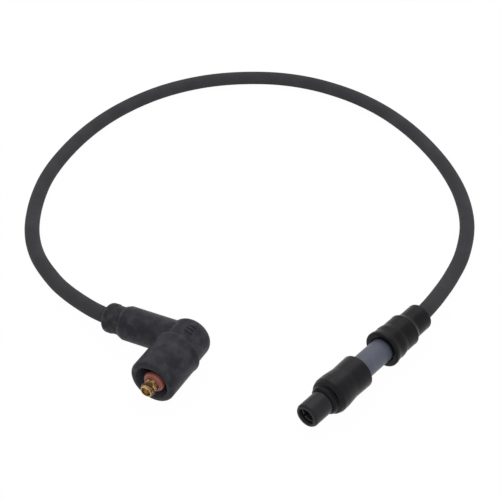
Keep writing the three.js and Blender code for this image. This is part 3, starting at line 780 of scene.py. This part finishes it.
def cut_with(obj, cutter):
    """Subtracts a closed object from another and deletes it."""
    cut = obj.modifiers.new("cut", "BOOLEAN")
    cut.operation = "DIFFERENCE"
    cut.solver = "EXACT"
    cut.object = cutter
    apply_modifiers(obj)
    bpy.data.objects.remove(cutter)


def join_objects(name, parts):
    """Collects the points and faces of several objects in one new object and deletes them."""
    joined = bmesh.new()
    for part in parts:
        joined.from_mesh(part.data)
    mesh = bpy.data.meshes.new(name)
    joined.to_mesh(mesh)
    joined.free()
    for part in parts:
        bpy.data.objects.remove(part)
    obj = bpy.data.objects.new(name, mesh)
    bpy.context.scene.collection.objects.link(obj)
    return obj


# %% [markdown]
# Small ribs and grooves on the head are short rods with round ends. A rod that follows the head's
# round at one height lies half in the surface: joined it is a rib, and cut away it is a groove.


# %% Blocks and rods
def box_block(name, middle, sides, place):
    """A closed box from its middle and side lengths in mm, moved to its place."""
    corners = np.array([[x, y, z] for x in (-0.5, 0.5) for y in (-0.5, 0.5) for z in (-0.5, 0.5)])
    points = (np.array(middle) + corners * np.array(sides)) * MM
    faces = [(0, 1, 3, 2), (4, 6, 7, 5), (0, 4, 5, 1), (2, 3, 7, 6), (0, 2, 6, 4), (1, 5, 7, 3)]
    turn, shift = np.array(place.to_3x3()), np.array(place.translation)
    obj = mesh_object(name, points @ turn.T + shift, faces)
    if mesh_volume(obj) < 0:
        obj.data.flip_normals()
    return obj


def head_arc(across_start, across_end, along, radius, steps=24):
    """Points on the head's round at one height along its axis, from one sideways place to another, in mm."""
    angle = np.linspace(math.asin(across_start / radius), math.asin(across_end / radius), steps)
    return np.stack([radius * np.sin(angle), np.full(steps, along), radius * np.cos(angle)], axis=-1)


def rounded_rod(name, path_mm, radius_mm, place):
    """A rod along a path with round ends: near each end its radius follows a quarter circle."""
    path = np.asarray(path_mm)
    along = np.concatenate([[0], np.cumsum(np.linalg.norm(np.diff(path, axis=0), axis=1))])
    inward = np.clip(np.minimum(along, along[-1] - along) / radius_mm, 0.02, 1)
    radii = radius_mm * np.sqrt(1 - (1 - inward) ** 2)
    turn, shift = np.array(place.to_3x3()), np.array(place.translation)
    rod = tube_along(name, path * MM @ turn.T + shift, radii * MM, 20)
    if mesh_volume(rod) < 0:
        rod.data.flip_normals()
    return rod


# %% [markdown]
# The housing is one moulding: a round head with a flat pad on top, the barrel that runs out of its
# side and a sleeve that the insulator sits in. Where head and barrel meet, the mould leaves a soft
# fillet. The blanks are joined, a voxel remesh melts them into one skin, and a few rounds of smoothing
# open the fillets. The bores are cut afterwards, so their edges stay crisp.

# %% Elbow housing
HEAD_RADIUS, HEAD_BACK, HEAD_ROUND, PAD_DROP = 9.2, 7.1, 4.6, 0.4
BARREL_RADIUS, BARREL_END, SEAL_BORE, CHAMBER_RADIUS = 7.46, 31.2, 5.2, 2.9
HOUSING_VOXEL, SMOOTHING_ROUNDS = 0.2 * MM, 3
GROOVES = [(1.3, 5.1, 1.2), (1.3, 5.1, -0.7), (1.8, 5.3, -2.6)]
RIBS = [(1.3, 5.2, 0.25), (1.5, 5.3, -1.65), (1.9, 5.4, -3.5)]
GROOVE_RADIUS, RIB_RADIUS, RIDGE_RADIUS, ROD_SINK = 0.5, 0.32, 0.3, 0.05
JUNCTION_RIDGES = (0.9, -1.5, -3.9)
RIDGE_PATH = [(-6.3, 7.42), (-5.6, 7.55), (-5.0, 7.75), (-4.5, 7.85)]
RELIEF = [[0, MOUTH], [CUP_RADIUS + 0.6, MOUTH], [CUP_RADIUS + 0.6, CUP_BACK + 0.3], [0, CUP_BACK + 0.3]]
CABLE_HOLE = [
    [0, 2.0], [CABLE_BORE, 2.0], [CABLE_BORE, 24.9], [SEAL_BORE, 24.9], [SEAL_BORE, BARREL_END + 1],
    [0, BARREL_END + 1],
]
CHAMBER = [[0, INSERT_BACK], [CHAMBER_RADIUS, INSERT_BACK], [CHAMBER_RADIUS, 4.3], [0, 4.3]]


def housing_blanks():
    """The head with its pad cut flat, the barrel, and the small ridges and ribs that are raised on them."""
    head = closed_turned("head", [
        [0, CUP_BACK + 0.3], [HEAD_RADIUS, CUP_BACK + 0.3, 0.5], [HEAD_RADIUS, HEAD_BACK, HEAD_ROUND],
        [0, HEAD_BACK],
    ], elbow_place, 128)
    barrel = closed_turned("barrel", [
        [0, 0], [BARREL_RADIUS, 0, 0.5], [BARREL_RADIUS, 15.6], [BARREL_RADIUS + 0.06, 29.0, 1.2],
        [6.7, BARREL_END, 0.3], [0, BARREL_END],
    ], barrel_place, 128)
    pad_sides = (2 * HEAD_RADIUS, 3 * HEAD_RADIUS, 2 * PAD_DROP)
    cut_with(head, box_block("pad_cut", (0, 0, HEAD_RADIUS), pad_sides, elbow_place))
    ridges = [
        rounded_rod("ridge", [[across, along, up] for across, up in RIDGE_PATH], RIDGE_RADIUS, elbow_place)
        for along in JUNCTION_RIDGES
    ]
    ribs = [
        rounded_rod("rib", head_arc(start, end, along, HEAD_RADIUS - ROD_SINK), RIB_RADIUS, elbow_place)
        for start, end, along in RIBS
    ]
    return [head, barrel, *ridges, *ribs]


def make_housing():
    """Melts the blanks into one skin with a remesh, then cuts the bores and the grip grooves."""
    housing = join_objects("housing", housing_blanks())
    remesh = housing.modifiers.new("melt", "REMESH")
    remesh.mode = "VOXEL"
    remesh.voxel_size = HOUSING_VOXEL
    smooth = housing.modifiers.new("fillets", "SMOOTH")
    smooth.factor = 0.5
    smooth.iterations = SMOOTHING_ROUNDS
    apply_modifiers(housing)
    bores = [
        closed_turned("relief", RELIEF, elbow_place, 128),
        closed_turned("cable_hole", CABLE_HOLE, barrel_place),
        closed_turned("chamber", CHAMBER, insert_place),
    ]
    grooves = [
        rounded_rod("groove", head_arc(start, end, along, HEAD_RADIUS + ROD_SINK), GROOVE_RADIUS, elbow_place)
        for start, end, along in GROOVES
    ]
    for cutter in bores + grooves:
        cut_with(housing, cutter)
    return housing


housing = make_housing()
housing.data.shade_smooth()
housing.data.set_sharp_from_angle(angle=SHARP_ANGLE)
dress(housing, elbow_rubber, "elbow_rubber", "elbow_housing")
SLEEVE_BORE, SLEEVE_RADIUS, SLEEVE_FRONT = 5.65, 6.85, -14.74
sleeve = turned_piece("insulator_sleeve", [
    [SLEEVE_BORE, SLEEVE_FRONT, 0.2], [SLEEVE_RADIUS, SLEEVE_FRONT, 0.3],
    [SLEEVE_RADIUS, CUP_BACK + 0.2], [SLEEVE_BORE, CUP_BACK + 0.2],
], elbow_place)
dress(sleeve, elbow_rubber, "elbow_rubber")
print("housing faces:", len(housing.data.polygons))

# %% [markdown]
# The pieces inside keep their solid meshes, because only their finish matters here: turned brass,
# plated steel, a pale ceramic and a copper conductor.

# %% Finishes of the solid pieces
INNER_FINISHES = {
    "plug_socket_terminal": steel, "plug_socket_clip": steel, "plug_resistor": ceramic,
    "plug_spring": steel, "plug_cable_screw": brass, "elbow_spring": steel, "elbow_contact": brass,
    "elbow_resistor": ceramic, "elbow_cable_screw": brass, "cable_core": copper,
}
for node_name, finish in INNER_FINISHES.items():
    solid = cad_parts[node_name]
    solid.data.materials.clear()
    solid.data.materials.append(finish)
print("solid nodes kept:", len(INNER_FINISHES))
